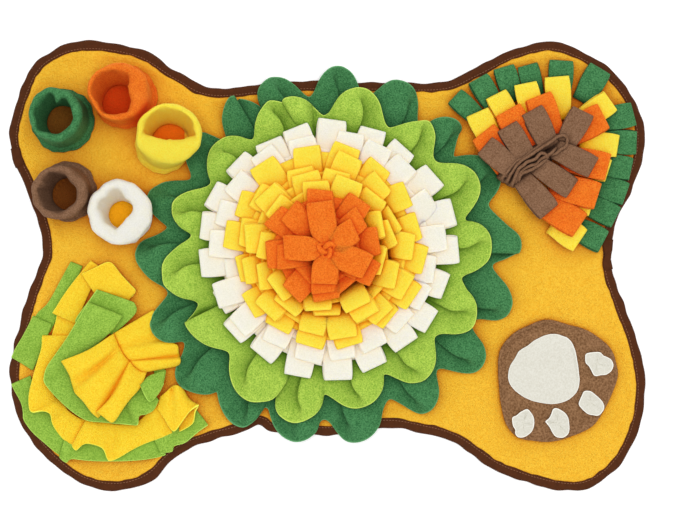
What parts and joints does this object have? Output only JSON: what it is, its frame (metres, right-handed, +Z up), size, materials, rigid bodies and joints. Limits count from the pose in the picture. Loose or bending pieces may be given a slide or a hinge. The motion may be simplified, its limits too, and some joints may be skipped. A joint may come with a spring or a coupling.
{
  "type": "snuffle mat",
  "caption": "Bone-shaped fleece snuffle mat with a bound edge, a layered flower of loops and petals, small cups, a slit fan, pleated leaves and a paw print.",
  "frame": {"origin": "middle of the mat's outline, on the floor", "axes": "+X along the bone's length, to the right with the cups at top left and the paw at bottom right; +Y up the mat; +Z up from the floor"},
  "size_m": [0.7002, 0.4948, 0.064],
  "materials": {
    "mat_base_fleece": "golden fleece on backing cloth",
    "binding_tape": "dark brown woven tape",
    "petals_dark_fleece": "dark green fleece",
    "petals_light_fleece": "light green fleece",
    "loops_white_1_fleece": "white fleece",
    "loops_white_2_fleece": "white fleece",
    "loops_yellow_1_fleece": "yellow fleece",
    "loops_yellow_2_fleece": "yellow fleece",
    "loops_yellow_3_fleece": "yellow fleece",
    "loops_yellow_4_fleece": "yellow fleece",
    "loops_orange_1_fleece": "orange fleece",
    "loops_orange_2_fleece": "orange fleece",
    "loops_orange_3_fleece": "orange fleece",
    "flower_knot_fleece": "orange fleece",
    "cup_green_fleece": "dark green fleece",
    "cup_orange_fleece": "orange fleece",
    "cup_yellow_fleece": "yellow fleece",
    "cup_brown_fleece": "light brown fleece",
    "cup_white_fleece": "white fleece",
    "fan_green_fleece": "dark green fleece",
    "fan_yellow_fleece": "yellow fleece",
    "fan_orange_fleece": "orange fleece",
    "fan_brown_fleece": "light brown fleece",
    "fan_ridge_fleece": "light brown fleece",
    "leaf_green_strip_fleece": "light green fleece",
    "leaf_green_low_fleece": "light green fleece",
    "leaf_green_mid_fleece": "light green fleece",
    "leaf_green_end_fleece": "light green fleece",
    "leaf_yellow_low_fleece": "yellow fleece",
    "leaf_yellow_tab_fleece": "yellow fleece",
    "leaf_yellow_end_fleece": "yellow fleece",
    "leaf_yellow_top_fleece": "yellow fleece",
    "paw_patch_fleece": "light brown fleece",
    "paw_pad_fleece": "white fleece",
    "paw_toe_1_fleece": "white fleece",
    "paw_toe_2_fleece": "white fleece",
    "paw_toe_3_fleece": "white fleece",
    "paw_toe_4_fleece": "white fleece"
  },
  "bodies": {
    "root": {"mat_base": "mat_base_fleece", "binding": "binding_tape", "petals_dark": "petals_dark_fleece", "petals_light": "petals_light_fleece", "loops_white_1": "loops_white_1_fleece", "loops_white_2": "loops_white_2_fleece", "loops_yellow_1": "loops_yellow_1_fleece", "loops_yellow_2": "loops_yellow_2_fleece", "loops_yellow_3": "loops_yellow_3_fleece", "loops_yellow_4": "loops_yellow_4_fleece", "loops_orange_1": "loops_orange_1_fleece", "loops_orange_2": "loops_orange_2_fleece", "loops_orange_3": "loops_orange_3_fleece", "flower_knot": "flower_knot_fleece", "cup_green": "cup_green_fleece", "cup_orange": "cup_orange_fleece", "cup_yellow": "cup_yellow_fleece", "cup_brown": "cup_brown_fleece", "cup_white": "cup_white_fleece", "fan_green": "fan_green_fleece", "fan_yellow": "fan_yellow_fleece", "fan_orange": "fan_orange_fleece", "fan_brown": "fan_brown_fleece", "fan_ridge": "fan_ridge_fleece", "leaf_green_strip": "leaf_green_strip_fleece", "leaf_green_low": "leaf_green_low_fleece", "leaf_green_mid": "leaf_green_mid_fleece", "leaf_green_end": "leaf_green_end_fleece", "leaf_yellow_low": "leaf_yellow_low_fleece", "leaf_yellow_tab": "leaf_yellow_tab_fleece", "leaf_yellow_end": "leaf_yellow_end_fleece", "leaf_yellow_top": "leaf_yellow_top_fleece", "paw_patch": "paw_patch_fleece", "paw_pad": "paw_pad_fleece", "paw_toe_1": "paw_toe_1_fleece", "paw_toe_2": "paw_toe_2_fleece", "paw_toe_3": "paw_toe_3_fleece", "paw_toe_4": "paw_toe_4_fleece"}
  },
  "joints": []
}
